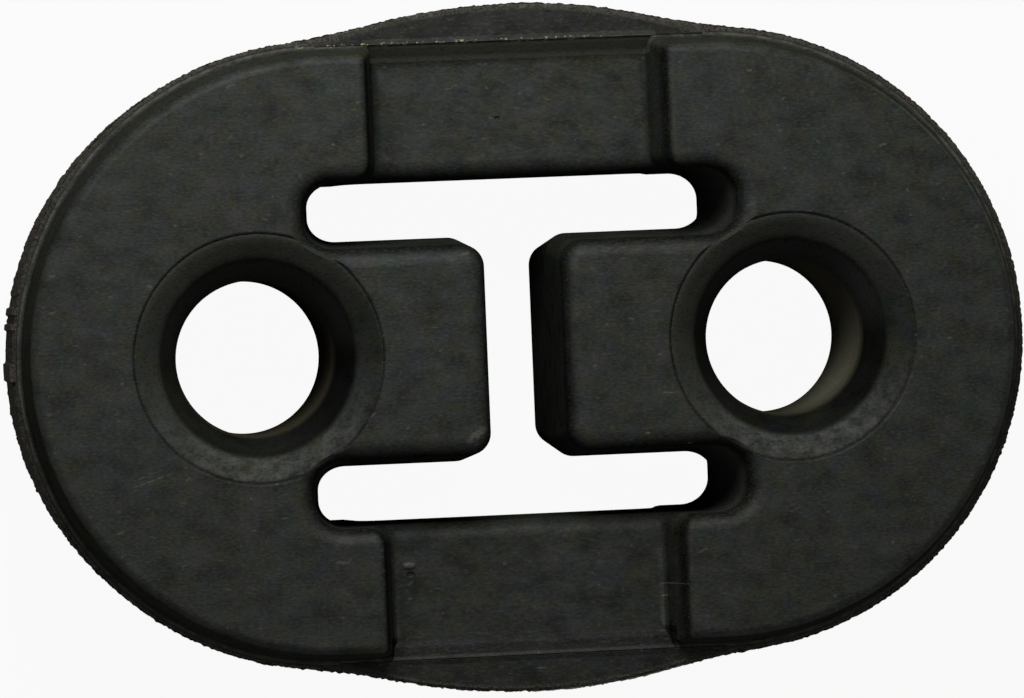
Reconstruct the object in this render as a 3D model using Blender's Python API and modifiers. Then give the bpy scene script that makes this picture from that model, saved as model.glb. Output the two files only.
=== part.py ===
"""Exhaust hanger: an oval block of moulded rubber with two bores and an H-shaped slot.

The block lies on its back face. +X runs along its length, +Y across it and +Z out of its front
face, and the origin is the middle of the back face. Sizes are in metres.
"""

import math

import bmesh
import bpy
from mathutils import Vector

MM = 0.001

# The block: two faces on a slab that is a little longer and wider than they are.
LENGTH = 69.7 * MM
WIDTH = 43.0 * MM
THICKNESS = 21.0 * MM
LEDGE_WIDTH = 0.7 * MM
LEDGE_DEPTH = 3.7 * MM
FACE_DRAFT = 0.65 * MM

# The belly on each long side of the slab.
BELLY_LENGTH = 25.8 * MM
BELLY_HEIGHT = 2.1 * MM
BELLY_BLEND = 1.2 * MM

# The recessed panel in the middle of each long side, front and back.
PANEL_LENGTH = 18.8 * MM
PANEL_MARGIN = 1.7 * MM
PANEL_DEPTH = 4.9 * MM
PANEL_DRAFT = 0.9 * MM

# The H-shaped slot: two long slots, and the gap between the tongues that joins them.
SLOT_LENGTH = 28.8 * MM
SLOT_HEIGHT = 4.7 * MM
SLOT_SPACING = 18.8 * MM
TONGUE_GAP = 5.25 * MM
TONGUE_CORNER = 1.5 * MM

# The two bores for the support rods, with the mouth and the funnel at each end.
BORE_PITCH = 36.4 * MM
BORE_RADIUS = 5.3 * MM
FUNNEL_RADIUS = 6.65 * MM
FUNNEL_DEPTH = 4.6 * MM
MOUTH_RADIUS = 8.35 * MM
MOUTH_DEPTH = 1.1 * MM

# Rounded edges.
FACE_ROUND = 0.6 * MM
LEDGE_ROUND = 0.3 * MM
SLOT_ROUND = 1.2 * MM
PAD_ROUND = 0.45 * MM
PANEL_ROUND = 0.5 * MM
MOUTH_ROUND = 0.15 * MM
FUNNEL_ROUND = 1.0 * MM
LAND_ROUND = 4.0 * MM

# How finely curves are cut into facets.
CHORD_ERROR = 0.02 * MM
OUTLINE_POINTS = 60
BORE_FACETS = 44
ROUND_SEGMENTS = 3
SHARP_ANGLE = math.radians(36)
FLAT_ANGLE = math.radians(0.5)

# How far a cutter reaches past what it cuts, and how far a panel's lip passes the ledge's root.
CLEAR = 2.0 * MM
LIP_OVERLAP = 0.05 * MM
WELD = 0.001 * MM


def clear_scene():
    """Empties the scene."""
    for obj in list(bpy.data.objects):
        bpy.data.objects.remove(obj)


def new_collection(name):
    """A collection in the scene."""
    collection = bpy.data.collections.new(name)
    bpy.context.scene.collection.children.link(collection)
    return collection


def rubber():
    """Matt black rubber with a green tinge."""
    material = bpy.data.materials.new("rubber")
    material.use_nodes = True
    shader = material.node_tree.nodes["Principled BSDF"]
    shader.inputs["Base Color"].default_value = (0.024, 0.027, 0.021, 1.0)
    shader.inputs["Roughness"].default_value = 0.75
    shader.inputs["Metallic"].default_value = 0.0
    return material


def rounded(corners, closed=True):
    """The points of an outline whose corners, given as (x, y, radius), are rounded."""
    points = []
    last = len(corners) - 1
    for index, (x, y, radius) in enumerate(corners):
        corner = Vector((x, y))
        if radius == 0 or (not closed and index in (0, last)):
            points.append(corner)
            continue
        back = (Vector(corners[index - 1][:2]) - corner).normalized()
        ahead = (Vector(corners[(index + 1) % len(corners)][:2]) - corner).normalized()
        half_angle = back.angle(ahead) / 2
        centre = corner + (back + ahead).normalized() * (radius / math.sin(half_angle))
        arm = corner + back * (radius / math.tan(half_angle)) - centre
        sweep = arm.angle_signed(corner + ahead * (radius / math.tan(half_angle)) - centre)
        facets = math.ceil(abs(sweep) / (2 * math.acos(1 - CHORD_ERROR / radius)))
        for step in range(facets + 1):
            turn = -sweep * step / facets
            cosine, sine = math.cos(turn), math.sin(turn)
            point = centre + Vector((arm.x * cosine - arm.y * sine, arm.x * sine + arm.y * cosine))
            if not points or (point - points[-1]).length > 1e-7:
                points.append(point)
    if closed and (points[0] - points[-1]).length < 1e-7:
        points.pop()
    return points


def face_outline():
    """The oval of the front and back faces: a rectangle with half-round ends."""
    x = LENGTH / 2 - LEDGE_WIDTH
    y = WIDTH / 2 - LEDGE_WIDTH
    return rounded([(x, -y, y), (x, y, y), (-x, y, y), (-x, -y, y)])


def slab_outline():
    """The oval of the slab, with a shallow arc on each long side that flows into it."""
    half_length, half_width = LENGTH / 2, WIDTH / 2
    end_centre = half_length - half_width
    radius = (BELLY_LENGTH**2 / 4 + BELLY_HEIGHT**2) / (2 * BELLY_HEIGHT)
    arc_centre = half_width + BELLY_HEIGHT - radius
    upper = []
    for step in range(OUTLINE_POINTS + 1):
        x = half_length * math.cos(math.pi * step / OUTLINE_POINTS)
        past = max(abs(x) - end_centre, 0)
        side = math.sqrt(max(half_width**2 - past**2, 0))
        belly = arc_centre + math.sqrt(radius**2 - x**2) if abs(x) < BELLY_LENGTH else 0
        overlap = max(BELLY_BLEND - abs(side - belly), 0)
        upper.append(Vector((x, max(side, belly) + overlap**2 / (4 * BELLY_BLEND))))
    lower = [Vector((-point.x, -point.y)) for point in upper]
    return upper[:-1] + lower[:-1]


def slot_outline():
    """The H-shaped slot, walked around its twelve corners."""
    end = SLOT_LENGTH / 2
    low = SLOT_SPACING / 2 - SLOT_HEIGHT / 2
    high = SLOT_SPACING / 2 + SLOT_HEIGHT / 2
    gap = TONGUE_GAP / 2
    end_round = SLOT_HEIGHT / 2 - 1e-7
    corners = [
        (gap, -low, TONGUE_CORNER),
        (gap, low, TONGUE_CORNER),
        (end, low, end_round),
        (end, high, end_round),
    ]
    left = [(-x, y, radius) for x, y, radius in reversed(corners)]
    right_low = [(x, -y, radius) for x, y, radius in reversed(corners[2:])]
    left_low = [(-x, y, radius) for x, y, radius in reversed(right_low)]
    return rounded(corners[1:] + left + left_low + right_low + corners[:1])


def add_object(name, mesh, collection):
    """An object that carries the mesh."""
    obj = bpy.data.objects.new(name, mesh)
    collection.objects.link(obj)
    return obj


def prism(name, outline, low, high, collection):
    """A solid with the outline as its section, from one level to another."""
    curve = bpy.data.curves.new(name + "_outline", "CURVE")
    curve.dimensions = "2D"
    curve.fill_mode = "BOTH"
    curve.extrude = (high - low) / 2
    spline = curve.splines.new("POLY")
    spline.points.add(len(outline) - 1)
    for target, point in zip(spline.points, outline):
        target.co = (point.x, point.y, 0, 1)
    spline.use_cyclic_u = True
    drawn = add_object(name + "_outline", curve, collection)
    graph = bpy.context.evaluated_depsgraph_get()
    mesh = bpy.data.meshes.new_from_object(drawn.evaluated_get(graph))
    bpy.data.objects.remove(drawn)
    bm = bmesh.new()
    bm.from_mesh(mesh)
    bmesh.ops.remove_doubles(bm, verts=bm.verts, dist=1e-7)
    bmesh.ops.dissolve_limit(bm, angle_limit=FLAT_ANGLE, verts=bm.verts, edges=bm.edges)
    bmesh.ops.translate(bm, verts=bm.verts, vec=(0, 0, (low + high) / 2))
    bmesh.ops.recalc_face_normals(bm, faces=bm.faces)
    bm.to_mesh(mesh)
    bm.free()
    return add_object(name, mesh, collection)


def draft_faces(mesh):
    """Leans the walls of the oval in, from a little below the ledges to the front and back faces."""
    spine = (LENGTH - WIDTH) / 2
    bm = bmesh.new()
    bm.from_mesh(mesh)
    root = LEDGE_DEPTH + FACE_DRAFT
    for level in (root, THICKNESS - root):
        everything = bm.verts[:] + bm.edges[:] + bm.faces[:]
        bmesh.ops.bisect_plane(bm, geom=everything, plane_co=(0, 0, level), plane_no=(0, 0, 1))
    for vertex in bm.verts:
        if min(vertex.co.z, THICKNESS - vertex.co.z) < LEDGE_DEPTH / 2:
            outward = Vector((vertex.co.x - max(-spine, min(spine, vertex.co.x)), vertex.co.y, 0))
            vertex.co -= outward.normalized() * FACE_DRAFT
    bm.to_mesh(mesh)
    bm.free()


def is_sharp(edge):
    """Whether two faces meet at an outer corner along the edge."""
    return edge.is_convex and edge.calc_face_angle(0) > SHARP_ANGLE


def rim_share(edge):
    """How much of the slot's rounding an edge takes: all of it at the slot, and less along a pad."""
    shoulder = WIDTH / 2 - LEDGE_WIDTH - FACE_DRAFT - FACE_ROUND
    middle = (edge.verts[0].co + edge.verts[1].co) / 2
    if not is_sharp(edge) or abs(middle.y) > shoulder:
        return 0
    at_slot = all(
        abs(vertex.co.x) < SLOT_LENGTH / 2 + WELD and abs(vertex.co.y) < (SLOT_SPACING + SLOT_HEIGHT) / 2 + WELD
        for vertex in edge.verts
    )
    return 1 if at_slot else PAD_ROUND / SLOT_ROUND


def round_edges(obj, width, share=is_sharp):
    """A Bevel on the edges that a rule gives a share of its width."""
    bm = bmesh.new()
    bm.from_mesh(obj.data)
    bmesh.ops.remove_doubles(bm, verts=bm.verts, dist=WELD)
    bmesh.ops.dissolve_limit(bm, angle_limit=FLAT_ANGLE, verts=bm.verts, edges=bm.edges)
    layers = bm.edges.layers.float
    weights = layers.get("bevel_weight_edge") or layers.new("bevel_weight_edge")
    for edge in bm.edges:
        edge[weights] = float(share(edge))
    bm.to_mesh(obj.data)
    bm.free()
    bevel = obj.modifiers.new("round", "BEVEL")
    bevel.width = width
    bevel.segments = ROUND_SEGMENTS
    bevel.limit_method = "WEIGHT"
    bevel.use_clamp_overlap = False


def join_or_cut(obj, other, operation):
    """A Boolean on the object. The other solid becomes a guide that no render shows."""
    other.hide_render = True
    other.display_type = "WIRE"
    boolean = obj.modifiers.new(other.name, "BOOLEAN")
    boolean.operation = operation
    boolean.solver = "EXACT"
    boolean.object = other


def settle(obj):
    """Makes what the modifiers show the object's own mesh."""
    graph = bpy.context.evaluated_depsgraph_get()
    mesh = bpy.data.meshes.new_from_object(obj.evaluated_get(graph))
    obj.modifiers.clear()
    obj.data = mesh


def panel_cutter(name, side, front, cutters):
    """The space over one recessed panel: a box that opens outwards from its floor."""
    floor = THICKNESS - PANEL_DEPTH
    inner = SLOT_SPACING / 2
    outer = WIDTH / 2 - PANEL_MARGIN
    lip = WIDTH / 2 - LEDGE_WIDTH + LIP_OVERLAP
    length_slope = PANEL_DRAFT / PANEL_DEPTH
    width_slope = (lip - outer) / (PANEL_DEPTH - LEDGE_DEPTH)
    mesh = bpy.data.meshes.new(name)
    bm = bmesh.new()
    bmesh.ops.create_cube(bm, size=2)
    for vertex in bm.verts:
        rise = PANEL_DEPTH + CLEAR if vertex.co.z > 0 else 0
        x = PANEL_LENGTH / 2 + rise * length_slope
        y = outer + rise * width_slope if vertex.co.y > 0 else inner
        vertex.co = (math.copysign(x, vertex.co.x), y, floor + rise)
    if side < 0:
        bmesh.ops.scale(bm, verts=bm.verts, vec=(-1, -1, 1))
    if not front:
        floor = PANEL_DEPTH
        bmesh.ops.scale(bm, verts=bm.verts, vec=(-1, 1, -1))
        bmesh.ops.translate(bm, verts=bm.verts, vec=(0, 0, THICKNESS))
    bm.to_mesh(mesh)
    bm.free()
    cutter = add_object(name, mesh, cutters)
    round_edges(cutter, PANEL_ROUND, lambda edge: all(abs(v.co.z - floor) < 1e-6 for v in edge.verts))
    return cutter


def bore_profile():
    """The section of one bore, from its front mouth to its back one."""
    slope = math.atan2(MOUTH_DEPTH, MOUTH_RADIUS - FUNNEL_RADIUS)
    rim = MOUTH_RADIUS + MOUTH_ROUND
    front = [
        (0, THICKNESS + CLEAR * math.sin(slope / 2), 0),
        (rim + CLEAR * math.cos(slope / 2), THICKNESS + CLEAR * math.sin(slope / 2), 0),
        (MOUTH_RADIUS - MOUTH_ROUND * math.cos(slope), THICKNESS - MOUTH_ROUND * math.sin(slope), 0),
        (FUNNEL_RADIUS, THICKNESS - MOUTH_DEPTH, FUNNEL_ROUND),
        (BORE_RADIUS, THICKNESS - MOUTH_DEPTH - FUNNEL_DEPTH, LAND_ROUND),
    ]
    back = [(r, THICKNESS - z, radius) for r, z, radius in reversed(front)]
    return rounded(front + back, closed=False)


def bore_cutter(name, x, cutters):
    """The space of one bore, turned about its axis."""
    mesh = bpy.data.meshes.new(name)
    bm = bmesh.new()
    chain = [bm.verts.new((point.x, 0, point.y)) for point in bore_profile()]
    for first, second in zip(chain, chain[1:]):
        bm.edges.new((first, second))
    bm.to_mesh(mesh)
    bm.free()
    cutter = add_object(name, mesh, cutters)
    cutter.location.x = x
    screw = cutter.modifiers.new("turn", "SCREW")
    screw.steps = BORE_FACETS
    screw.render_steps = BORE_FACETS
    screw.use_merge_vertices = True
    screw.merge_threshold = 1e-6
    return cutter


def make_hanger():
    """The whole moulding."""
    parts = new_collection("exhaust_hanger")
    cutters = new_collection("cutters")

    hanger = prism("rubber_hanger", slab_outline(), LEDGE_DEPTH, THICKNESS - LEDGE_DEPTH, parts)
    round_edges(hanger, LEDGE_ROUND)
    faces = prism("faces", face_outline(), 0, THICKNESS, cutters)
    draft_faces(faces.data)
    round_edges(faces, FACE_ROUND)
    join_or_cut(hanger, faces, "UNION")
    slot = prism("slot", slot_outline(), -CLEAR, THICKNESS + CLEAR, cutters)
    join_or_cut(hanger, slot, "DIFFERENCE")
    for side, side_name in ((1, "upper"), (-1, "lower")):
        for front, front_name in ((True, "front"), (False, "back")):
            panel = panel_cutter(f"{side_name}_{front_name}_panel", side, front, cutters)
            join_or_cut(hanger, panel, "DIFFERENCE")
    settle(hanger)
    round_edges(hanger, SLOT_ROUND, rim_share)

    for name, x in (("left_bore", -BORE_PITCH / 2), ("right_bore", BORE_PITCH / 2)):
        join_or_cut(hanger, bore_cutter(name, x, cutters), "DIFFERENCE")
    settle(hanger)

    hanger.data.materials.clear()
    hanger.data.materials.append(rubber())
    hanger.data.shade_smooth()
    hanger.data.set_sharp_from_angle(angle=SHARP_ANGLE)


clear_scene()
make_hanger()
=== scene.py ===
import math

import bmesh
import bpy
from mathutils import Matrix, Vector


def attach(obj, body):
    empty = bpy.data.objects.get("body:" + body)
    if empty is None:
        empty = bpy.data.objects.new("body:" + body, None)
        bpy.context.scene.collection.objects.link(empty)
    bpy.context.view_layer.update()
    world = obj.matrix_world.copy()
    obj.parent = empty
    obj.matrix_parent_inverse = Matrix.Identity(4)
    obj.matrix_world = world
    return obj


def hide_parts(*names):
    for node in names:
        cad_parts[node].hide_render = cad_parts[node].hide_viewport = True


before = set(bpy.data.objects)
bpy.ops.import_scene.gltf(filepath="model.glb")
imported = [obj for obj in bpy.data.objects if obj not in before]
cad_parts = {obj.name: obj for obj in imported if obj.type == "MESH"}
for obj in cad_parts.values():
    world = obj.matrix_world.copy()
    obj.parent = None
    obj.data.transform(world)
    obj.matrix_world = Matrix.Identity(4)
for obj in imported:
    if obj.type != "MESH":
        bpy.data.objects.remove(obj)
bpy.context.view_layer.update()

MM = 0.001

# The moulding's outline, its faces and the ledges around them.
LENGTH = 69.7 * MM
WIDTH = 43.0 * MM
THICKNESS = 21.0 * MM
LEDGE_WIDTH = 0.7 * MM
LEDGE_DEPTH = 3.7 * MM
FACE_DRAFT = 0.65 * MM
SPINE = (LENGTH - WIDTH) / 2

# The bellies of the two long sides, and how softly they leave the outline.
BELLY_LENGTH = 25.8 * MM
BELLY_HEIGHT = 2.1 * MM
BELLY_BLEND = 1.2 * MM
BELLY_RADIUS = (BELLY_LENGTH**2 / 4 + BELLY_HEIGHT**2) / (2 * BELLY_HEIGHT)

# The four recessed panels.
PANEL_LENGTH = 18.8 * MM
PANEL_MARGIN = 1.7 * MM
PANEL_DEPTH = 4.9 * MM
PANEL_DRAFT = 0.9 * MM
PANEL_LIP = 0.05 * MM
PANEL_FLOOR = THICKNESS - PANEL_DEPTH

# The H-shaped slot. Its long bars narrow from the faces to half way through: SLOT_REACH is their
# half length at the two levels, and SLOT_SWELL is what the tongues' sides gain.
SLOT_HEIGHT = 4.7 * MM
SLOT_SPACING = 18.8 * MM
SLOT_CORNER = 1.9 * MM
SLOT_REACH = (14.95 * MM, 13.75 * MM)
SLOT_SWELL = 0.7 * MM
TONGUE_GAP = 5.25 * MM
TONGUE_CORNER = 1.5 * MM

# The bores. Their section is in mm: radius and depth below the face, from the mouth to the waist.
BORE_PITCH = 36.4 * MM
BORE_LEAD = 0.1
BORE_SECTION = (
    (8.62, 0.0), (8.50, 0.08), (8.38, 0.20), (8.26, 0.17), (8.10, 0.20), (7.7, 0.47), (7.2, 0.79),
    (6.86, 1.04), (6.68, 1.26), (6.58, 1.50), (6.15, 2.4), (5.78, 3.2), (5.52, 3.9), (5.37, 4.5), (5.3, 5.4),
)

# Rounds, and how finely the curves are cut.
FACE_ROUND = 0.6 * MM
SLOT_ROUND = 1.2 * MM
PAD_ROUND = 0.45 * MM
PANEL_ROUND = 0.5 * MM
SHARP = math.radians(36)
SEGMENTS = 5
BEAD_SEGMENTS = 96
PAD_SEGMENTS = 72
SLOT_SEGMENTS = 12
TONGUE_SEGMENTS = 10
BORE_POINTS = 160

# How far tools reach past what they cut, and how close counts as being there.
CLEAR = 2.0 * MM
NEAR = 1e-6

# The slab's edge: its points around, its rows up, and the rings that draw its rims in.
EDGE_POINTS = 1500
EDGE_ROWS = 20
EDGE_RINGS = 3
EDGE_FALL = 0.36 * MM
BEAD_WIDTH = 0.24 * MM
BEAD_RISE = 0.12 * MM

# How deep the torn edge is worn in, and the share of it that each stretch takes: the right half,
# the left half, the stretch around the nubs, the nubs themselves, and the ridge half way up.
TEAR_DEPTH = 0.62 * MM
TEAR_GRIT = 0.28 * MM
TORN_RIGHT = 0.44
TORN_LEFT = 0.64
TORN_BY_NUBS = 0.95
TORN_NUB = 0.05
TORN_RIDGE = 0.7

# Where the edge stands proud at the left end, as centre and half length along Y, and the stretch
# around them.
NUBS = ((3.9 * MM, 0.28 * MM), (2.8 * MM, 0.2 * MM), (-0.35 * MM, 0.62 * MM))
BY_NUBS = (1 * MM, 4 * MM)

# Small flaws in the panels' floors: a pit in the upper one, a blister and a pit in the lower one.
FLAWS = (
    ((-0.9 * MM, 15.72 * MM, PANEL_FLOOR + 0.03 * MM), (0.2 * MM, 0.15 * MM, 0.16 * MM), "DIFFERENCE"),
    ((-8.2 * MM, -14.6 * MM, PANEL_FLOOR - 0.12 * MM), (0.55 * MM, 0.36 * MM, 0.24 * MM), "UNION"),
    ((-8.1 * MM, -15.2 * MM, PANEL_FLOOR + 0.03 * MM), (0.32 * MM, 0.24 * MM, 0.17 * MM), "DIFFERENCE"),
)


# ---- working by hand


def alone(obj):
    """Makes the object the only one selected and the active one."""
    bpy.ops.object.select_all(action="DESELECT")
    obj.select_set(True)
    bpy.context.view_layer.objects.active = obj
    return obj


def settle(obj):
    """Moves the object's place, turn and scale into its mesh."""
    alone(obj)
    bpy.ops.object.transform_apply(location=True, rotation=True, scale=True)
    return obj


def named(name):
    """The primitive that was just added, under its own name and with its place in its mesh."""
    obj = bpy.context.object
    obj.name = obj.data.name = name
    return settle(obj)


def block(name, low, high):
    """A box between two corners."""
    bpy.ops.object.select_all(action="DESELECT")
    centre = (Vector(low) + Vector(high)) / 2
    bpy.ops.mesh.primitive_cube_add(size=1, location=centre, scale=Vector(high) - Vector(low))
    return named(name)


def edit(obj):
    """Opens the object in edit mode."""
    alone(obj)
    bpy.ops.object.mode_set(mode="EDIT")


def done():
    """Leaves edit mode."""
    bpy.ops.object.mode_set(mode="OBJECT")


def pick(obj, kind, rule):
    """Selects the parts of the edited mesh that a rule takes."""
    bpy.ops.mesh.select_mode(type=kind)
    bpy.ops.mesh.select_all(action="DESELECT")
    bm = bmesh.from_edit_mesh(obj.data)
    for item in {"VERT": bm.verts, "EDGE": bm.edges, "FACE": bm.faces}[kind]:
        if rule(item):
            item.select_set(True)
    bm.select_flush_mode()
    bmesh.update_edit_mesh(obj.data)


def upright(edge, lean=1e-5):
    """Whether an edge runs along Z, or leans from it by less than a share of its height."""
    run = edge.verts[0].co - edge.verts[1].co
    return math.hypot(run.x, run.y) < lean * abs(run.z)


def depth_of(vertex):
    """How far a vertex lies below the nearer face."""
    return min(vertex.co.z, THICKNESS - vertex.co.z)


def split_level(level):
    """Cuts the whole edited mesh at one height, and keeps both halves."""
    bpy.ops.mesh.select_all(action="SELECT")
    bpy.ops.mesh.bisect(plane_co=(0, 0, level), plane_no=(0, 0, 1))


def turn_outwards():
    """Makes every face of the edited mesh look outwards."""
    bpy.ops.mesh.select_all(action="SELECT")
    bpy.ops.mesh.normals_make_consistent(inside=False)


def bevel_picked(width, segments=SEGMENTS):
    """Rounds the selected edges."""
    bpy.ops.mesh.bevel(offset=width, segments=segments, affect="EDGES", clamp_overlap=False)
    bpy.ops.mesh.select_all(action="SELECT")
    bpy.ops.mesh.remove_doubles(threshold=NEAR)


def apply_last(obj):
    """Applies the object's last modifier."""
    alone(obj)
    bpy.ops.object.modifier_apply(modifier=obj.modifiers[-1].name)


def carve(obj, tool, operation="DIFFERENCE"):
    """Joins a tool to the object or cuts it out, and puts the tool away."""
    boolean = obj.modifiers.new("carve", "BOOLEAN")
    boolean.operation = operation
    boolean.solver = "MANIFOLD"
    boolean.object = tool
    apply_last(obj)
    bpy.data.objects.remove(tool)


# ---- the moulding


def slab_half_width(x):
    """How far the slab reaches across at a place along its length, belly included."""
    half_width = WIDTH / 2
    past = max(abs(x) - SPINE, 0)
    side = math.sqrt(max(half_width**2 - past**2, 0))
    if abs(x) > BELLY_LENGTH:
        return side
    belly = half_width + BELLY_HEIGHT - BELLY_RADIUS + math.sqrt(BELLY_RADIUS**2 - x**2)
    overlap = max(BELLY_BLEND - abs(side - belly), 0)
    return max(side, belly) + overlap**2 / (4 * BELLY_BLEND)


def make_slab():
    """The slab that carries the ledges: a ring of points drawn up in rows, its rims drawn in."""
    bpy.ops.object.select_all(action="DESELECT")
    bpy.ops.mesh.primitive_circle_add(vertices=EDGE_POINTS, radius=1, fill_type="NGON")
    slab = named("rubber_moulding")
    for index, vertex in enumerate(slab.data.vertices):
        turn = 2 * math.pi * index / EDGE_POINTS
        x = LENGTH / 2 * math.cos(turn)
        vertex.co = (x, math.copysign(slab_half_width(x), math.sin(turn)), LEDGE_DEPTH)
    edit(slab)
    bpy.ops.mesh.select_all(action="SELECT")
    rise = (THICKNESS - 2 * LEDGE_DEPTH) / EDGE_ROWS
    for row in range(EDGE_ROWS):
        bpy.ops.mesh.extrude_region_move(TRANSFORM_OT_translate={"value": (0, 0, rise)})
    for level in (LEDGE_DEPTH, THICKNESS - LEDGE_DEPTH):
        pick(slab, "FACE", lambda f: abs(f.normal.z) > 0.9 and abs(f.calc_center_median().z - level) < NEAR)
        for ring in range(EDGE_RINGS):
            bpy.ops.mesh.inset(thickness=EDGE_FALL / 2)
    turn_outwards()
    done()
    return slab


def make_bead():
    """The low bead that runs along the pads' feet on both ledges."""
    half = Vector((LENGTH / 2 - LEDGE_WIDTH + BEAD_WIDTH, WIDTH / 2 - LEDGE_WIDTH + BEAD_WIDTH))
    low = LEDGE_DEPTH - BEAD_RISE
    bead = block("bead", (-half.x, -half.y, low), (half.x, half.y, THICKNESS - low))
    edit(bead)
    pick(bead, "EDGE", upright)
    bevel_picked(half.y, BEAD_SEGMENTS)
    pick(bead, "EDGE", lambda e: all(depth_of(v) < low + NEAR for v in e.verts))
    bevel_picked(BEAD_RISE * 0.9, 3)
    done()
    return bead


def make_pads():
    """The oval block through the slab whose two ends are the front and back faces."""
    half = Vector((LENGTH / 2 - LEDGE_WIDTH, WIDTH / 2 - LEDGE_WIDTH))
    pads = block("pads", (-half.x, -half.y, 0), (half.x, half.y, THICKNESS))
    edit(pads)
    pick(pads, "EDGE", upright)
    bevel_picked(half.y, PAD_SEGMENTS)
    root = LEDGE_DEPTH + FACE_DRAFT
    for level in (root, THICKNESS - root):
        split_level(level)
    draw_in = (1 - FACE_DRAFT / half.x, 1 - FACE_DRAFT / half.y, 1)
    for level in (0, THICKNESS):
        pick(pads, "FACE", lambda f: all(abs(v.co.z - level) < NEAR for v in f.verts))
        bpy.ops.transform.resize(value=draw_in, center_override=(0, 0, level))
    pick(pads, "EDGE", lambda e: all(depth_of(v) < NEAR for v in e.verts))
    bevel_picked(FACE_ROUND)
    done()
    return pads


def make_slot_bar(side):
    """The space of one long bar of the slot, narrowest half way through, where the mould halves met."""
    outer = side * (SLOT_SPACING + SLOT_HEIGHT) / 2
    inner = side * (SLOT_SPACING - SLOT_HEIGHT) / 2
    low = (-SLOT_REACH[1], min(inner, outer), -CLEAR)
    high = (SLOT_REACH[1], max(inner, outer), THICKNESS + CLEAR)
    bar = block("bar", low, high)
    edit(bar)
    pick(bar, "EDGE", upright)
    bevel_picked(SLOT_CORNER, SLOT_SEGMENTS)
    half = THICKNESS / 2
    split_level(half)
    beyond = CLEAR / half
    narrow = 1 - SLOT_SWELL / SLOT_HEIGHT
    widen = 1 + SLOT_SWELL / SLOT_HEIGHT * beyond
    stretch = 1 + (SLOT_REACH[0] / SLOT_REACH[1] - 1) * (1 + beyond)
    pick(bar, "VERT", lambda v: abs(v.co.z - half) < NEAR)
    bpy.ops.transform.resize(value=(1, narrow, 1), center_override=(0, outer, half))
    pick(bar, "VERT", lambda v: abs(v.co.z - half) > NEAR)
    bpy.ops.transform.resize(value=(stretch, widen, 1), center_override=(0, outer, half))
    done()
    return bar


def make_slot():
    """The space of the H-shaped slot."""
    reach = SLOT_SPACING / 2
    gap = TONGUE_GAP / 2
    slot = block("slot", (-gap, -reach, -CLEAR), (gap, reach, THICKNESS + CLEAR))
    for side in (-1, 1):
        carve(slot, make_slot_bar(side), "UNION")
    edit(slot)
    bpy.ops.mesh.select_all(action="SELECT")
    bpy.ops.mesh.dissolve_limited(angle_limit=math.radians(0.5))
    pick(slot, "EDGE", lambda e: upright(e, 0.2) and all(abs(v.co.x) < gap + NEAR for v in e.verts))
    bevel_picked(TONGUE_CORNER, TONGUE_SEGMENTS)
    done()
    return slot


def make_panel(side, front):
    """The space over one recessed panel: a box that opens outwards from its floor."""
    half = PANEL_LENGTH / 2
    outer = WIDTH / 2 - PANEL_MARGIN
    lip = WIDTH / 2 - LEDGE_WIDTH + PANEL_LIP
    rise = PANEL_DEPTH + CLEAR
    panel = block("panel", (-half, SLOT_SPACING / 2, PANEL_FLOOR), (half, outer, PANEL_FLOOR + rise))
    edit(panel)
    pick(panel, "FACE", lambda f: f.normal.z > 0.9)
    stretch = 1 + rise * (PANEL_DRAFT / PANEL_DEPTH) / half
    bpy.ops.transform.resize(value=(stretch, 1, 1), center_override=(0, 0, 0))
    middle = PANEL_FLOOR + rise / 2
    pick(panel, "EDGE", lambda e: all(v.co.z > middle and v.co.y > outer - NEAR for v in e.verts))
    bpy.ops.transform.translate(value=(0, rise * (lip - outer) / (PANEL_DEPTH - LEDGE_DEPTH), 0))
    pick(panel, "EDGE", lambda e: all(abs(v.co.z - PANEL_FLOOR) < NEAR for v in e.verts))
    bevel_picked(PANEL_ROUND)
    done()
    turn = Matrix.Identity(4)
    if side < 0:
        turn = Matrix.Rotation(math.pi, 4, "Z")
    if not front:
        turn = Matrix.Translation((0, 0, THICKNESS)) @ Matrix.Rotation(math.pi, 4, "Y") @ turn
    panel.matrix_world = turn
    return settle(panel)


def make_bore(x):
    """The space of one bore: a ring drawn down and in, station by station."""
    radius = BORE_SECTION[0][0] + BORE_LEAD
    level = THICKNESS + CLEAR
    bpy.ops.object.select_all(action="DESELECT")
    bpy.ops.mesh.primitive_circle_add(
        vertices=BORE_POINTS, radius=radius * MM, fill_type="NGON", location=(x, 0, level)
    )
    bore = named("bore")
    edit(bore)
    bpy.ops.mesh.select_all(action="SELECT")
    down = [(BORE_SECTION[0][0] + BORE_LEAD, -BORE_LEAD)] + list(BORE_SECTION)
    stations = [(r, THICKNESS - depth * MM) for r, depth in down]
    stations += [(r, THICKNESS - z) for r, z in reversed(stations)]
    stations.append((stations[-1][0], -CLEAR))
    for r, z in stations:
        bpy.ops.mesh.extrude_region_move(TRANSFORM_OT_translate={"value": (0, 0, z - level)})
        bpy.ops.transform.resize(value=(r / radius, r / radius, 1), center_override=(x, 0, z))
        radius, level = r, z
    turn_outwards()
    done()
    return bore


def rim_slope(x):
    """How much further in a point of the rim lies across than along its own outward way."""
    half_width = slab_half_width(x)
    past = max(abs(x) - SPINE, 0)
    return 2.5 * EDGE_FALL * (1 + 0.9 * past / max(half_width, 2 * MM))


def on_slab_rim(place):
    """Whether a point lies on the outer wall of the slab or on the rough part of its ledges."""
    inside = LEDGE_DEPTH - 0.02 * MM < place.z < THICKNESS - LEDGE_DEPTH + 0.02 * MM
    return inside and abs(place.y) > slab_half_width(place.x) - 0.1 * MM - rim_slope(place.x)


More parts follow.
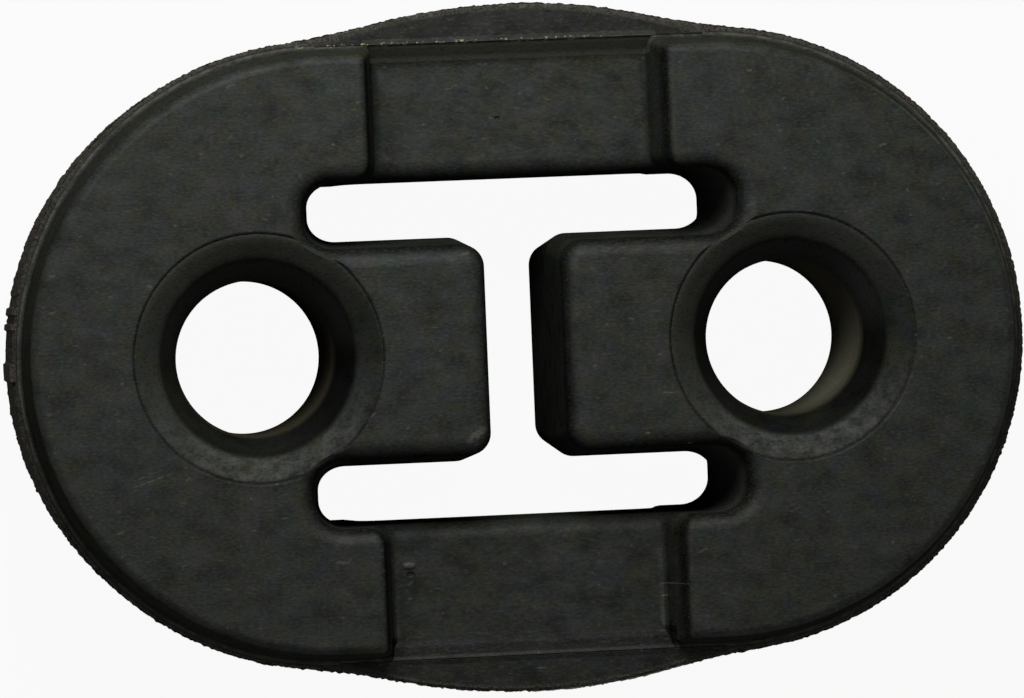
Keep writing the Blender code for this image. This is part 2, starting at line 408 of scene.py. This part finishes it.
def rim_share(edge):
    """How much of the slot's rounding an edge takes."""
    if not edge.is_convex or edge.calc_face_angle(0) < SHARP:
        return 0.0
    if all(on_slab_rim(vertex.co) for vertex in edge.verts):
        return 0.0
    at_slot = all(
        abs(v.co.x) < SLOT_REACH[0] + NEAR and abs(v.co.y) < (SLOT_SPACING + SLOT_HEIGHT) / 2 + NEAR
        for v in edge.verts
    )
    return 1.0 if at_slot else PAD_ROUND / SLOT_ROUND


def round_rims(moulding):
    """Rounds the rims of the slot and the pads."""
    bm = bmesh.new()
    bm.from_mesh(moulding.data)
    bmesh.ops.remove_doubles(bm, verts=bm.verts, dist=NEAR)
    layers = bm.edges.layers.float
    weights = layers.get("bevel_weight_edge") or layers.new("bevel_weight_edge")
    for item in bm.edges:
        item[weights] = rim_share(item)
    bm.to_mesh(moulding.data)
    bm.free()
    bevel = moulding.modifiers.new("rims", "BEVEL")
    bevel.width = SLOT_ROUND
    bevel.segments = SEGMENTS
    bevel.limit_method = "WEIGHT"
    bevel.use_clamp_overlap = False
    apply_last(moulding)


def make_moulding():
    """The whole rubber body."""
    moulding = make_slab()
    carve(moulding, make_bead(), "UNION")
    carve(moulding, make_pads(), "UNION")
    carve(moulding, make_slot())
    for side in (1, -1):
        for front in (True, False):
            carve(moulding, make_panel(side, front))
    round_rims(moulding)
    for x in (-BORE_PITCH / 2, BORE_PITCH / 2):
        carve(moulding, make_bore(x))
    for place, size, operation in FLAWS:
        bpy.ops.object.select_all(action="DESELECT")
        bpy.ops.mesh.primitive_ico_sphere_add(subdivisions=3, radius=1, location=place, scale=size)
        carve(moulding, named("flaw"), operation)
    return moulding


def torn_share(place):
    """How far a point of the slab's edge is worn in: none of it off the edge, little at the nubs."""
    if abs(place.x) > SPINE:
        inset = WIDTH / 2 - Vector((abs(place.x) - SPINE, place.y)).length
    else:
        inset = slab_half_width(place.x) - abs(place.y)
    if inset > EDGE_FALL * 0.75 or not LEDGE_DEPTH - 1e-5 < place.z < THICKNESS - LEDGE_DEPTH + 1e-5:
        return 0.0
    if place.x < 0 and any(abs(place.y - middle) < half for middle, half in NUBS):
        return TORN_NUB
    share = TORN_RIGHT
    if place.x < 0:
        share = TORN_BY_NUBS if abs(place.y - BY_NUBS[0]) < BY_NUBS[1] else TORN_LEFT
    if abs(place.z - THICKNESS / 2) < 1e-4:
        share *= TORN_RIDGE
    return share


def tear_edge(moulding):
    """Roughens the slab's edge, inwards only, and leaves a parting ridge half way up."""
    group = moulding.vertex_groups.new(name="torn")
    for vertex in moulding.data.vertices:
        share = torn_share(vertex.co)
        if share:
            group.add([vertex.index], share, "REPLACE")
    grit = bpy.data.textures.new("grit", "CLOUDS")
    grit.noise_scale = TEAR_GRIT
    grit.noise_depth = 3
    tear = moulding.modifiers.new("tear", "DISPLACE")
    tear.texture = grit
    tear.texture_coords = "LOCAL"
    tear.vertex_group = "torn"
    tear.strength = TEAR_DEPTH
    tear.mid_level = 1.0
    apply_last(moulding)


moulding = make_moulding()
tear_edge(moulding)


# ---- colours and surfaces


class Paint:
    """A socket of a material that can be used in sums like a number."""

    def __init__(self, tree, socket=None):
        self.tree = tree
        self.socket = socket

    def node(self, kind, settings=None, sockets=None, out=0):
        """A new node: its settings are made first, then its sockets are set or linked."""
        node = self.tree.nodes.new(kind)
        for name, value in (settings or {}).items():
            setattr(node, name, value)
        for name, value in (sockets or {}).items():
            if isinstance(value, Paint):
                self.tree.links.new(value.socket, node.inputs[name])
            else:
                node.inputs[name].default_value = value
        return Paint(self.tree, node.outputs[out])

    def maths(self, operation, *others):
        """A sum whose first value is this one."""
        return self.node("ShaderNodeMath", {"operation": operation}, dict(enumerate((self, *others))))

    def __add__(self, other):
        return self.maths("ADD", other)

    def __sub__(self, other):
        return self.maths("SUBTRACT", other)

    def __rsub__(self, other):
        return self.node("ShaderNodeMath", {"operation": "SUBTRACT"}, {0: other, 1: self})

    def __mul__(self, other):
        return self.maths("MULTIPLY", other)

    __radd__ = __add__
    __rmul__ = __mul__

    def band(self, low, high):
        """0 below the low value, 1 above the high one."""
        return self.node("ShaderNodeMapRange", {"clamp": True}, {0: self, 1: low, 2: high, 3: 0.0, 4: 1.0})

    def near(self, value, outer, inner):
        """1 within the inner distance of a value, 0 beyond the outer one."""
        return (self - value).maths("ABSOLUTE").band(outer, inner)

    def noise(self, size, detail=3.0, roughness=0.55, offset=(0, 0, 0), stretch=(1, 1, 1)):
        """Noise whose lumps are about one size across, from 0 to 1."""
        place = self.node("ShaderNodeMapping", None, {"Vector": self, "Location": offset, "Scale": stretch})
        sockets = {"Vector": place, "Scale": 1 / size, "Detail": detail, "Roughness": roughness}
        return self.node("ShaderNodeTexNoise", None, sockets)

    def part(self, axis):
        """The X, Y or Z of a place, or the red, green or blue of a colour."""
        return self.node("ShaderNodeSeparateXYZ", None, {0: self}, out=axis)

    def length(self, other):
        """The long side of a right triangle with these two as its short ones."""
        return (self * self + other * other).maths("SQRT")

    def mix(self, mask, first, second, way="MIX"):
        """Two colours mixed where the mask says."""
        settings = {"data_type": "RGBA", "blend_type": way}
        return self.node("ShaderNodeMix", settings, {0: mask, 6: first, 7: second}, out=2)

    def over(self, mask, tone):
        """This colour with another laid over it where the mask says."""
        return self.mix(mask, self, tone)

    def dim(self, mask, share):
        """This colour brought down to a share of itself where the mask says."""
        return self.mix(mask, self, colour(share, share, share), "MULTIPLY")


def colour(r, g, b):
    """A colour as the sockets take it."""
    return (r, g, b, 1.0)


# The rubber's own tones, from its clouding to the grain over it.
RUBBER_OLIVE = colour(0.0235, 0.0255, 0.0190)
RUBBER_GREY = colour(0.0245, 0.0270, 0.0245)
YELLOW_TINT = colour(0.0265, 0.0290, 0.0130)
BLUE_TINT = colour(0.0225, 0.0255, 0.0300)
GREEN_TINT = colour(0.0170, 0.0275, 0.0200)
PALE_PATCH = colour(0.038, 0.040, 0.036)
PALE_GRAIN = colour(0.064, 0.067, 0.056)

# The torn edge, the bead and the pads' rims: tones lightened partly with painted light, and painted
# highlights.
TORN_OLIVE = colour(0.036, 0.036, 0.024)
TORN_BROWN = colour(0.046, 0.037, 0.032)
TORN_FLECK = colour(0.098, 0.095, 0.078)
EDGE_WALL_PALE_AND_LIT = colour(0.094, 0.086, 0.070)
BEAD_WEAR_AND_HIGHLIGHT = colour(0.082, 0.082, 0.066)
SHOULDER_LIGHT = colour(0.038, 0.038, 0.026)
PAD_CREST_HIGHLIGHT = colour(0.090, 0.090, 0.070)

# The panels' slopes and lips: painted light and highlights, and pale specks.
UPPER_SLOPE_LIGHT = colour(0.070, 0.072, 0.058)
LOWER_CREST_HIGHLIGHT = colour(0.060, 0.062, 0.050)
UPPER_FOLD_HIGHLIGHT = colour(0.070, 0.072, 0.060)
LIP_SPECK = colour(0.34, 0.34, 0.19)

# Painted light and highlights for the bores' mouths, funnels and waists, and for the slot's ends.
MOUTH_HIGHLIGHT = colour(0.085, 0.088, 0.081)
MOUTH_TOP_LIGHT = colour(0.044, 0.046, 0.036)
MOUTH_LEFT_LIGHT = colour(0.042, 0.044, 0.034)
FUNNEL_TOP_LIGHT = colour(0.044, 0.043, 0.042)
WAIST_LIGHT = colour(0.066, 0.060, 0.038)
WAIST_BRIGHT_LIGHT = colour(0.230, 0.226, 0.165)
SLOT_END_LIGHT = colour(0.072, 0.072, 0.068)

# What lies on the surface.
DUST = colour(0.092, 0.096, 0.072)
MARK_TONE = colour(0.110, 0.112, 0.092)

# Scratches, scuffs and dust on the front, in mm: middle, half length and half width, then turn in
# degrees and strength.
MARKS = (
    ((-25.8, -7.9), (1.75, 0.07), 18.3, 0.5),
    ((-26.1, -7.55), (1.3, 0.05), 18.3, 0.35),
    ((-3.7, -5.75), (1.1, 0.35), 36, 0.6),
    ((9.7, -16.51), (0.8, 0.06), 5, 0.8),
    ((7.94, -6.12), (0.22, 0.09), 0, 0.9),
    ((10.85, -6.93), (0.28, 0.08), 20, 0.9),
    ((-19.24, -5.01), (0.2, 0.12), 0, 0.8),
    ((32.09, -8.33), (0.3, 0.08), -30, 0.8),
    ((-30.9, -13.1), (0.4, 0.12), -10, 0.8),
    ((24.9, 12.8), (0.5, 0.14), 25, 0.5),
    ((-8.2, -14.5), (0.5, 0.22), 0, 0.7),
    ((9.2, -17.4), (0.5, 0.07), 8, 0.8),
)


def slab_line(x):
    """How far the slab reaches across at each place along its length, for use in a material."""
    past = (x.maths("ABSOLUTE") - SPINE).maths("MAXIMUM", 0.0)
    side = ((WIDTH / 2) ** 2 - past * past).maths("MAXIMUM", 0.0).maths("SQRT")
    belly = (BELLY_RADIUS**2 - x * x).maths("SQRT") + (WIDTH / 2 + BELLY_HEIGHT - BELLY_RADIUS)
    return side.maths("MAXIMUM", belly)


def new_material(name):
    """A material, its shader and a Paint at its object coordinates."""
    material = bpy.data.materials.new(name)
    material.use_nodes = True
    shader = material.node_tree.nodes["Principled BSDF"]
    return material, shader, Paint(material.node_tree).node("ShaderNodeTexCoord", out=3)


def feed(shader, name, paint):
    """Links a paint to the shader's socket."""
    paint.tree.links.new(paint.socket, shader.inputs[name])


def moulded_rubber():
    """Aged black rubber: olive and blue-grey clouding, pale flecks and scuffs, and painted light and shade on
    rims, slopes and in the bores.
    """
    material, shader, place = new_material("moulded_rubber")
    x, y, z = (place.part(axis) for axis in range(3))
    upward = place.node("ShaderNodeTexCoord", out=1).part(2).maths("ABSOLUTE")
    steep = upward.band(0.82, 0.40)
    depth = THICKNESS / 2 - (z - THICKNESS / 2).maths("ABSOLUTE")
    across = y.maths("ABSOLUTE")
    along = x.maths("ABSOLUTE")
    upper_half = y.band(0, MM)
    lower_half = y.band(0, -MM)
    from_axis = (along - BORE_PITCH / 2).length(y)
    from_spine = (along - SPINE).maths("MAXIMUM", 0.0).length(y)
    past_pads = from_spine - (WIDTH / 2 - LEDGE_WIDTH)
    mouth = from_axis.band(8.35 * MM, 8.25 * MM)
    outside = past_pads.band(-0.1 * MM, 0.1 * MM)

    clouds = place.noise(6 * MM, 4.0)
    patches = place.noise(1.7 * MM, 3.0, 0.6, offset=(0.3, 0.1, 0.2), stretch=(0.8, 1.1, 1))
    tints = place.noise(1.3 * MM, 1.0, offset=(0.7, 0.4, 0.1))
    greens = place.noise(1.5 * MM, 1.0, offset=(0.1, 0.8, 0.5))
    grain = place.noise(0.2 * MM, 3.0, 0.75, stretch=(0.6, 1.4, 1))
    wear_and_light_patches = place.noise(1.1 * MM, 3.0, 0.6, offset=(0.4, 0.6, 0.8))
    base = place.mix(clouds.band(0.38, 0.62), RUBBER_OLIVE, RUBBER_GREY)
    base = base.over(tints.band(0.54, 0.68) * 0.65, YELLOW_TINT)
    base = base.over(tints.band(0.45, 0.32) * 0.65, BLUE_TINT)
    base = base.over(greens.band(0.56, 0.68) * 0.5, GREEN_TINT)
    base = base.dim(patches.band(0.50, 0.30) * 0.8, 0.55)
    base = base.over(patches.band(0.52, 0.72) * 0.5, PALE_PATCH)

    # The ledges and the bellies, darker below.
    base = base.dim(outside * (0.65 + 0.35 * y.band(-5 * MM, 5 * MM)), 0.57)

    # The torn edge and the wall below it, lighter than the rubber: partly dry torn rubber, partly painted
    # light where the edge lies in shade.
    near_edge = (across - slab_line(x)).band(-0.62 * MM, -0.5 * MM)
    near_edge = near_edge.maths("MAXIMUM", along.band(24 * MM, 25 * MM))
    torn = past_pads.band(0.24 * MM, 0.30 * MM) * near_edge
    grit = place.noise(0.13 * MM, 2.0, 0.7, offset=(0.2, 0.9, 0.4))
    rust = place.noise(0.9 * MM, 1.0, offset=(0.6, 0.2, 0.4))
    base = base.over(torn * 0.85, place.mix(rust.band(0.42, 0.6), TORN_OLIVE, TORN_BROWN))
    base = base.dim(torn * grit.band(0.50, 0.36), 0.2)
    base = base.over(torn * grit.band(0.53, 0.64) * 0.6, TORN_FLECK)
    # The wall below the edge is paler, partly dry torn rubber and partly painted light on a shaded wall.
    wall = torn * depth.band(LEDGE_DEPTH, LEDGE_DEPTH + 0.4 * MM)
    base = base.over(wall * (0.45 + 0.4 * grit.band(0.40, 0.55)), EDGE_WALL_PALE_AND_LIT)

    # The bead along the pads' feet, pale where rubbed and as a painted highlight; the pads' draughted walls,
    # lightened in patches with painted light; and a painted highlight on a stretch of their rim.
    # The bead's pale line: rubbed wear and a painted highlight.
    bead = past_pads.band(-0.02 * MM, 0.04 * MM) * past_pads.band(BEAD_WIDTH, BEAD_WIDTH - 0.08 * MM)
    bead = bead * depth.band(LEDGE_DEPTH + 0.05 * MM, LEDGE_DEPTH - 0.02 * MM)
    base = base.over(bead * (0.25 + 0.75 * wear_and_light_patches.band(0.40, 0.62)), BEAD_WEAR_AND_HIGHLIGHT)
    # Painted light: the pads' steep walls lightened in patches.
    shoulder = past_pads.band(-0.75 * MM, -0.55 * MM) * past_pads.band(0.0, -0.1 * MM)
    shoulder = shoulder * depth.band(LEDGE_DEPTH, 3 * MM) * upward.band(0.95, 0.7)
    base = base.over(shoulder * (0.1 + 0.5 * wear_and_light_patches), SHOULDER_LIGHT)
    # A painted highlight on a stretch of the pads' rim crest.
    crest_highlight = past_pads.near(-0.78 * MM, 0.14 * MM, 0.04 * MM) * depth.band(0.5 * MM, 0.2 * MM)
    crest_highlight = crest_highlight * x.band(22 * MM, 27 * MM) * y.band(3 * MM, 8 * MM)
    base = base.over(crest_highlight * wear_and_light_patches.band(0.36, 0.55) * 0.6, PAD_CREST_HIGHLIGHT)

    # The panels' outer slopes, with painted light on the upper one and painted shade on the lower one, painted
    # highlights and painted shade along their floors' edges and the lower lip, and specks along the upper lip.
    panel = along.band(PANEL_LENGTH / 2 + 0.6 * MM, PANEL_LENGTH / 2)
    panel = panel * depth.band(LEDGE_DEPTH - 0.3 * MM, LEDGE_DEPTH)
    # Painted light on the upper panels' slope.
    slope = panel * across.band(19.75 * MM, 19.95 * MM) * across.band(20.95 * MM, 20.85 * MM)
    base = base.over(slope * upper_half * 0.9, UPPER_SLOPE_LIGHT)
    # Painted shade on the lower panels' slope and in the crease at its foot.
    lower = along.band(10.6 * MM, 10.2 * MM) * depth.band(2.8 * MM, 3.0 * MM) * lower_half
    base = base.dim(lower * across.band(19.3 * MM, 19.6 * MM) * across.band(21.0 * MM, 20.95 * MM), 0.5)
    base = base.dim(lower * across.near(19.7 * MM, 0.32 * MM, 0.1 * MM), 0.5)
    # A painted highlight along the lower lip's crest.
    base = base.over(lower * across.near(20.83 * MM, 0.12 * MM, 0.04 * MM) * wear_and_light_patches * 0.5, LOWER_CREST_HIGHLIGHT)
    # Along the floors' edges: a painted highlight on the upper panels and painted shade in the lower panels'
    # crease.
    fold = panel * across.near(19.85 * MM, 0.12 * MM, 0.05 * MM)
    base = base.over(fold * upper_half * (0.25 + 0.5 * wear_and_light_patches), UPPER_FOLD_HIGHLIGHT)
    base = base.dim(fold * lower_half, 0.45)
    specks = place.noise(0.34 * MM, 2.0, 0.6, offset=(0.9, 0.1, 0.6)).band(0.57, 0.64)
    lip = y.near(20.98 * MM, 0.16 * MM, 0.08 * MM) * z.band(15 * MM, 16 * MM)
    base = base.over(lip * x.near(-4 * MM, 12 * MM, 8 * MM) * specks * 0.9, LIP_SPECK)

    # The bores: painted shade in a groove round a mouth with a painted highlight low on it and painted light
    # on its upper and left sides, a funnel darkened with painted shade, and a waist lightened with painted
    # light.
    # Painted shade in the groove round the mouth.
    groove = from_axis.near(8.42 * MM, 0.24 * MM, 0.10 * MM)
    base = base.dim(groove * depth.band(0.5 * MM, 0.3 * MM), 0.75)
    # A mottled painted highlight on the lower part of the ring.
    ring_mottle = place.noise(0.9 * MM, 4.0, 0.75, offset=(0.1, 0.5, 0.3))
    ring = mouth * depth.band(1.3 * MM, 1.0 * MM)
    base = base.over(ring * y.band(0, -6.5 * MM) * (0.15 + 0.65 * ring_mottle.band(0.38, 0.62)), MOUTH_HIGHLIGHT)
    rightward = x - x.maths("SIGN") * (BORE_PITCH / 2)
    # Painted shade on the lower right of the mouth.
    base = base.dim(mouth * rightward.band(1 * MM, 7 * MM) * y.band(-7.5 * MM, -3 * MM), 0.8)
    # Painted light on the ring's upper and left sides.
    base = base.over(ring * y.band(2 * MM, 6 * MM) * 0.5, MOUTH_TOP_LIGHT)
    base = base.over(mouth * (rightward * -1).band(2 * MM, 6 * MM) * 0.4, MOUTH_LEFT_LIGHT)
    # Painted shade in the funnel, deeper on its right side, with painted light on its upper part.
    funnel = mouth * depth.band(1.2 * MM, 1.7 * MM)
    base = base.dim(funnel, 0.5)
    base = base.dim(funnel * rightward.band(2 * MM, 5 * MM), 0.6)
    base = base.over(funnel * y.band(0, 4 * MM) * 0.8, FUNNEL_TOP_LIGHT)
    # Painted light in the waist, brightest on the far part of the right bore.
    waist = mouth * depth.band(3.9 * MM, 5.0 * MM)
    base = base.over(waist * (0.5 + 0.4 * wear_and_light_patches), WAIST_LIGHT)
    waist_lit_side = waist * x.band(18 * MM, 22.5 * MM) * (THICKNESS - z).band(3 * MM, 12 * MM)
    base = base.over(waist_lit_side * 0.85, WAIST_BRIGHT_LIGHT)

    # Painted light on the end walls of the slot's long bars, paler towards the panels, and painted shade on
    # the slot's rims.
    ends = along.band(11.5 * MM, 13 * MM) * along.band(17.5 * MM, 17 * MM)
    ends = ends * across.band(6.5 * MM, 7.5 * MM) * across.band(12.5 * MM, 12 * MM)
    ends = ends * (1 - mouth) * depth.band(1.0 * MM, 3.0 * MM)
    above = (y - y.maths("SIGN") * (SLOT_SPACING / 2)).band(-1.6 * MM, 1.2 * MM)
    # Painted light on the slot's end walls.
    base = base.over(ends * (0.15 + 0.85 * above) * 0.9, SLOT_END_LIGHT)
    # Painted shade on the steep rounding of the slot's rims.
    inside = past_pads.band(-0.8 * MM, -1.2 * MM) * (1 - mouth)
    base = base.dim(inside * upward.band(0.93, 0.62) * depth.band(2.4 * MM, 1.2 * MM), 0.45)

    # Grain over everything, then pale dust and short threads on what faces up.
    base = base.dim(grain.band(0.50, 0.26), 0.34)
    base = base.over(grain.band(0.53, 0.78) * 0.7 * (1 - mouth), PALE_GRAIN)
    stray = {"Vector": place, "Scale": 1 / (1.6 * MM), "Detail": 2.0}
    stray = place.node("ShaderNodeTexNoise", None, stray, out=1)
    stray = place.node("ShaderNodeVectorMath", {"operation": "MULTIPLY"}, {0: stray, 1: (3 * MM, 1.2 * MM, 0)})
    cells = place.node("ShaderNodeVectorMath", {"operation": "ADD"}, {0: place, 1: stray})
    cells = cells.node("ShaderNodeMapping", None, {"Vector": cells, "Scale": (0.55, 1.3, 1)})
    grid = {"voronoi_dimensions": "2D"}, {"Vector": cells, "Scale": 1 / (1.2 * MM)}
    from_seed = cells.node("ShaderNodeTexVoronoi", *grid)
    chosen = cells.node("ShaderNodeTexVoronoi", *grid, out=1).part(0)
    dust = from_seed.band(0.11, 0.0) * chosen.band(0.50, 1.15) * (1 - steep) * (1 - mouth)
    base = base.over(dust, DUST)
    for (at_x, at_y), (half_length, half_width), degrees, strength in MARKS:
        turn = math.radians(degrees)
        run = (x - at_x * MM) * math.cos(turn) + (y - at_y * MM) * math.sin(turn)
        off = (y - at_y * MM) * math.cos(turn) - (x - at_x * MM) * math.sin(turn)
        mark = (run * (1 / (half_length * MM))).length(off * (1 / (half_width * MM))).band(1.0, 0.4)
        mark = mark * grain.band(0.36, 0.50) * z.band(15 * MM, 15.5 * MM)
        base = base.over(mark * strength, MARK_TONE)

    feed(shader, "Base Color", base)
    feed(shader, "Roughness", 0.60 + 0.22 * clouds + 0.12 * grain)
    feed(shader, "Coat Weight", (1 - steep) * (1 - mouth) * (0.15 + 0.5 * patches))
    height = 0.45 * grain + 0.6 * patches + clouds
    bump = {"Strength": 0.3, "Distance": 0.14 * MM, "Height": height}
    feed(shader, "Normal", place.node("ShaderNodeBump", None, bump))
    shader.inputs["Specular IOR Level"].default_value = 0.0
    shader.inputs["Coat Roughness"].default_value = 0.6
    return material


moulding.data.materials.clear()
moulding.data.materials.append(moulded_rubber())
alone(moulding)
bpy.ops.object.shade_smooth_by_angle(angle=SHARP)
evener = moulding.modifiers.new("even", "WEIGHTED_NORMAL")
evener.keep_sharp = True
apply_last(moulding)
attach(moulding, "root")
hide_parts("rubber_hanger")


# ---- floor, light and camera

FLOOR_SIZE = 6
FLOOR_DROP = 0.05 * MM
FLOOR_WHITE = 0.94

SKY_STRENGTH = 0.17
LAMP_PLACE = (-0.02, 0.093, 0.114)
LAMP_SIZE = 0.07
LAMP_POWER = 0.168

# The photograph's frame and the camera's turns in degrees, its distance from the front face, its
# focal length in pixels, and the pixel at which the middle of the front face lies.
FRAME_WIDTH, FRAME_HEIGHT = 1024, 698
SENSOR_WIDTH = 36
YAW, PITCH, ROLL = 6.6, -0.5, 2.35
DISTANCE = 0.410
FOCUS = 6068.0
MIDDLE_AT = (528.0, 347.6)


def make_floor():
    """A plain pale floor that shows white to the camera and keeps the shadow."""
    bpy.ops.object.select_all(action="DESELECT")
    bpy.ops.mesh.primitive_plane_add(size=FLOOR_SIZE, location=(0, 0, -FLOOR_DROP))
    floor = named("floor")
    material = bpy.data.materials.new("pale_floor")
    material.use_nodes = True
    tree = material.node_tree
    shader = tree.nodes["Principled BSDF"]
    shader.inputs["Base Color"].default_value = colour(0.4, 0.4, 0.4)
    shader.inputs["Roughness"].default_value = 0.9
    start = Paint(tree)
    seen = start.node("ShaderNodeLightPath", out=0)
    for output in (3, 6):
        seen = seen.maths("MAXIMUM", start.node("ShaderNodeLightPath", out=output))
    white = start.node("ShaderNodeEmission", None, {"Color": colour(1, 1, 1), "Strength": 1.0})
    sockets = {0: seen * FLOOR_WHITE, 1: Paint(tree, shader.outputs[0]), 2: white}
    mixed = start.node("ShaderNodeMixShader", None, sockets)
    tree.links.new(mixed.socket, tree.nodes["Material Output"].inputs["Surface"])
    floor.data.materials.append(material)


def make_light():
    """Soft light from above the upper left, and a dim even sky."""
    world = bpy.data.worlds.new("sky")
    bpy.context.scene.world = world
    world.use_nodes = True
    background = world.node_tree.nodes["Background"]
    background.inputs["Color"].default_value = colour(1, 1, 1)
    background.inputs["Strength"].default_value = SKY_STRENGTH
    data = bpy.data.lights.new("soft_box", "AREA")
    data.shape = "SQUARE"
    data.size = LAMP_SIZE
    data.energy = LAMP_POWER
    lamp = bpy.data.objects.new("soft_box", data)
    bpy.context.scene.collection.objects.link(lamp)
    lamp.location = LAMP_PLACE
    lamp.rotation_euler = (Vector((0, 0, THICKNESS)) - lamp.location).to_track_quat("-Z", "Y").to_euler()


def make_camera():
    """The photograph's camera: close to straight on, a little to the left, rolled a little."""
    yaw, pitch, roll = math.radians(YAW), math.radians(PITCH), math.radians(ROLL)
    forward = Vector((math.sin(yaw) * math.cos(pitch), math.sin(pitch), -math.cos(yaw) * math.cos(pitch)))
    level = Vector((math.cos(yaw), 0, math.sin(yaw)))
    upright_way = level.cross(forward)
    right = level * math.cos(roll) - upright_way * math.sin(roll)
    up = upright_way * math.cos(roll) + level * math.sin(roll)
    scale = FOCUS / DISTANCE
    aim = Vector((0, 0, THICKNESS)) - right * ((MIDDLE_AT[0] - FRAME_WIDTH / 2) / scale)
    aim = aim + up * ((MIDDLE_AT[1] - FRAME_HEIGHT / 2) / scale)
    data = bpy.data.cameras.new("camera")
    data.sensor_width = SENSOR_WIDTH
    data.lens = FOCUS * SENSOR_WIDTH / FRAME_WIDTH
    data.clip_start = 0.01
    camera = bpy.data.objects.new("camera", data)
    bpy.context.scene.collection.objects.link(camera)
    turn = Matrix((right, up, -forward)).transposed().to_4x4()
    camera.matrix_world = Matrix.Translation(aim - forward * DISTANCE) @ turn
    bpy.context.scene.camera = camera


make_floor()
make_light()
make_camera()
bpy.context.scene.view_settings.view_transform = "Standard"
